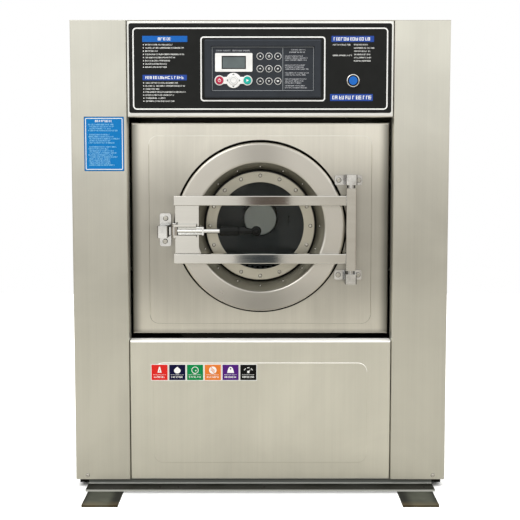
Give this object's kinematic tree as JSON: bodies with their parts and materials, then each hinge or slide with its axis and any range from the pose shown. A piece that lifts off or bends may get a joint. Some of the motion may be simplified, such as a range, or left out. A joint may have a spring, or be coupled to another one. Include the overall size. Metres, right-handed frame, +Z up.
{
  "type": "commercial washer-extractor",
  "caption": "Front-loading commercial laundry machine: brushed-steel cabinet, spring-hung tub, porthole door in a clamp yoke with a swing lever, keypad panel above.",
  "frame": {"origin": "on the floor, under the middle of the foot rails' footprint", "axes": "+Z up, the door faces -Y, +X to the right of a person facing the door"},
  "size_m": [1.05, 1.25, 1.313],
  "materials": {
    "cabinet_steel": "vertical brush, warm tint",
    "frame_paint": "dark grey structural paint",
    "foot_steel": "dark grey paint on flat bar",
    "overlay_black": "printed polyester film",
    "controller_plastic": "fine-textured moulding",
    "white_plastic": "gloss",
    "key_plastic": "smooth key cap with a printed ring",
    "stop_red": "gloss",
    "run_green": "gloss",
    "lcd_glass": "grey display glass",
    "button_blue": "translucent cap",
    "bright_metal": "polished",
    "stainless": "brushed",
    "door_steel": "satin blasted",
    "zinc_screw": "zinc plated",
    "glass": "clear",
    "black_rubber": "moulded",
    "belt_rubber": "ribbed",
    "grip_plastic": "gloss phenolic",
    "casting_iron": "painted casting",
    "motor_paint": "painted finned aluminium",
    "valve_plastic": "nylon",
    "drive_case": "textured paint",
    "spring_steel": "black oiled",
    "bearing_steel": "ground"
  },
  "bodies": {
    "cabinet": {"foot_rails": "foot_steel", "main_frame": "frame_paint", "side_panel_left": "cabinet_steel", "side_panel_right": "cabinet_steel", "top_panel": "cabinet_steel", "rear_panel": "cabinet_steel", "control_fascia": "cabinet_steel", "lower_front_panel": "cabinet_steel", "control_overlay": "overlay_black", "controller_bezel": "controller_plastic", "display_surround": "white_plastic", "lcd_screen": "lcd_glass", "start_button_bezel": "bright_metal", "inlet_valves": "valve_plastic", "cable_gland": "valve_plastic", "motor_drive": "drive_case", "cabinet_screws": "zinc_screw", "strut_cylinders": "frame_paint", "strut_springs": "spring_steel"},
    "tub": {"strut_rods": "bright_metal", "suspension_frame": "frame_paint", "tub_shell": "stainless", "tub_front_plate": "stainless", "door_surround_panel": "cabinet_steel", "mouth_gasket": "black_rubber", "bearing_housing": "casting_iron", "shaft_bearings": "bearing_steel", "motor_housing": "motor_paint", "drive_belts": "belt_rubber", "drain_valve": "valve_plastic", "hinge_brackets": "door_steel", "latch_bracket": "door_steel", "bracket_bolts": "zinc_screw"},
    "basket": {"basket_shell": "stainless", "basket_lifters": "stainless", "hub_cap": "stainless", "drum_shaft": "stainless", "drum_pulley": "casting_iron"},
    "rotor": {"motor_rotor": "casting_iron"},
    "door": {"door_ring": "door_steel", "window_clamp_ring": "stainless", "window_glass": "glass", "window_seal": "black_rubber", "clamp_ring_bolts": "zinc_screw", "door_yoke": "door_steel"},
    "latch": {"latch_lever": "bright_metal", "latch_grip": "grip_plastic"},
    "start_button": {"start_button": "button_blue"},
    "nav_pad": {"nav_pad": "controller_plastic"},
    "stop_key": {"stop_key": "stop_red"},
    "run_key": {"run_key": "run_green"},
    "key_1_1": {"key_1_1": "key_plastic"},
    "key_1_2": {"key_1_2": "key_plastic"},
    "key_1_3": {"key_1_3": "key_plastic"},
    "key_2_1": {"key_2_1": "key_plastic"},
    "key_2_2": {"key_2_2": "key_plastic"},
    "key_2_3": {"key_2_3": "key_plastic"},
    "key_3_1": {"key_3_1": "key_plastic"},
    "key_3_2": {"key_3_2": "key_plastic"},
    "key_3_3": {"key_3_3": "key_plastic"}
  },
  "joints": [
    {"name": "tub_suspension", "type": "slide", "parent": "cabinet", "child": "tub", "axis": [0, 0, 1], "range_m": [-0.012, 0.012], "stiffness_N_per_m": 120000, "springref_m": 0.02336, "deforming": ["strut_springs"]},
    {"name": "basket_spin", "type": "hinge", "parent": "tub", "child": "basket", "pos_m": [0, -0.133, 0.741], "axis": [0, 1, 0], "continuous": true},
    {"name": "motor_spin", "type": "hinge", "parent": "tub", "child": "rotor", "pos_m": [0.25, 0.167, 0.19], "axis": [0, 1, 0], "continuous": true},
    {"name": "door_swing", "type": "hinge", "parent": "tub", "child": "door", "pos_m": [0.253, -0.437, 0.741], "axis": [0, 0, 1], "range_deg": [0, 120]},
    {"name": "latch_turn", "type": "hinge", "parent": "door", "child": "latch", "pos_m": [-0.239, -0.453, 0.733], "axis": [0, 0, -1], "range_deg": [0, 110]},
    {"name": "start_button_press", "type": "slide", "parent": "cabinet", "child": "start_button", "axis": [0, 1, 0], "range_m": [0, 0.003], "stiffness_N_per_m": 900, "springref_m": -0.002},
    {"name": "nav_pad_press", "type": "slide", "parent": "cabinet", "child": "nav_pad", "axis": [0, 1, 0], "range_m": [0, 0.0012], "stiffness_N_per_m": 800, "springref_m": -0.001},
    {"name": "stop_key_press", "type": "slide", "parent": "cabinet", "child": "stop_key", "axis": [0, 1, 0], "range_m": [0, 0.0012], "stiffness_N_per_m": 800, "springref_m": -0.001},
    {"name": "run_key_press", "type": "slide", "parent": "cabinet", "child": "run_key", "axis": [0, 1, 0], "range_m": [0, 0.0012], "stiffness_N_per_m": 800, "springref_m": -0.001},
    {"name": "key_1_1_press", "type": "slide", "parent": "cabinet", "child": "key_1_1", "axis": [0, 1, 0], "range_m": [0, 0.001], "stiffness_N_per_m": 600, "springref_m": -0.001},
    {"name": "key_1_2_press", "type": "slide", "parent": "cabinet", "child": "key_1_2", "axis": [0, 1, 0], "range_m": [0, 0.001], "stiffness_N_per_m": 600, "springref_m": -0.001},
    {"name": "key_1_3_press", "type": "slide", "parent": "cabinet", "child": "key_1_3", "axis": [0, 1, 0], "range_m": [0, 0.001], "stiffness_N_per_m": 600, "springref_m": -0.001},
    {"name": "key_2_1_press", "type": "slide", "parent": "cabinet", "child": "key_2_1", "axis": [0, 1, 0], "range_m": [0, 0.001], "stiffness_N_per_m": 600, "springref_m": -0.001},
    {"name": "key_2_2_press", "type": "slide", "parent": "cabinet", "child": "key_2_2", "axis": [0, 1, 0], "range_m": [0, 0.001], "stiffness_N_per_m": 600, "springref_m": -0.001},
    {"name": "key_2_3_press", "type": "slide", "parent": "cabinet", "child": "key_2_3", "axis": [0, 1, 0], "range_m": [0, 0.001], "stiffness_N_per_m": 600, "springref_m": -0.001},
    {"name": "key_3_1_press", "type": "slide", "parent": "cabinet", "child": "key_3_1", "axis": [0, 1, 0], "range_m": [0, 0.001], "stiffness_N_per_m": 600, "springref_m": -0.001},
    {"name": "key_3_2_press", "type": "slide", "parent": "cabinet", "child": "key_3_2", "axis": [0, 1, 0], "range_m": [0, 0.001], "stiffness_N_per_m": 600, "springref_m": -0.001},
    {"name": "key_3_3_press", "type": "slide", "parent": "cabinet", "child": "key_3_3", "axis": [0, 1, 0], "range_m": [0, 0.001], "stiffness_N_per_m": 600, "springref_m": -0.001}
  ],
  "couplings": [
    {"joint": "motor_spin", "follows": "basket_spin", "ratio": 3.6923}
  ]
}
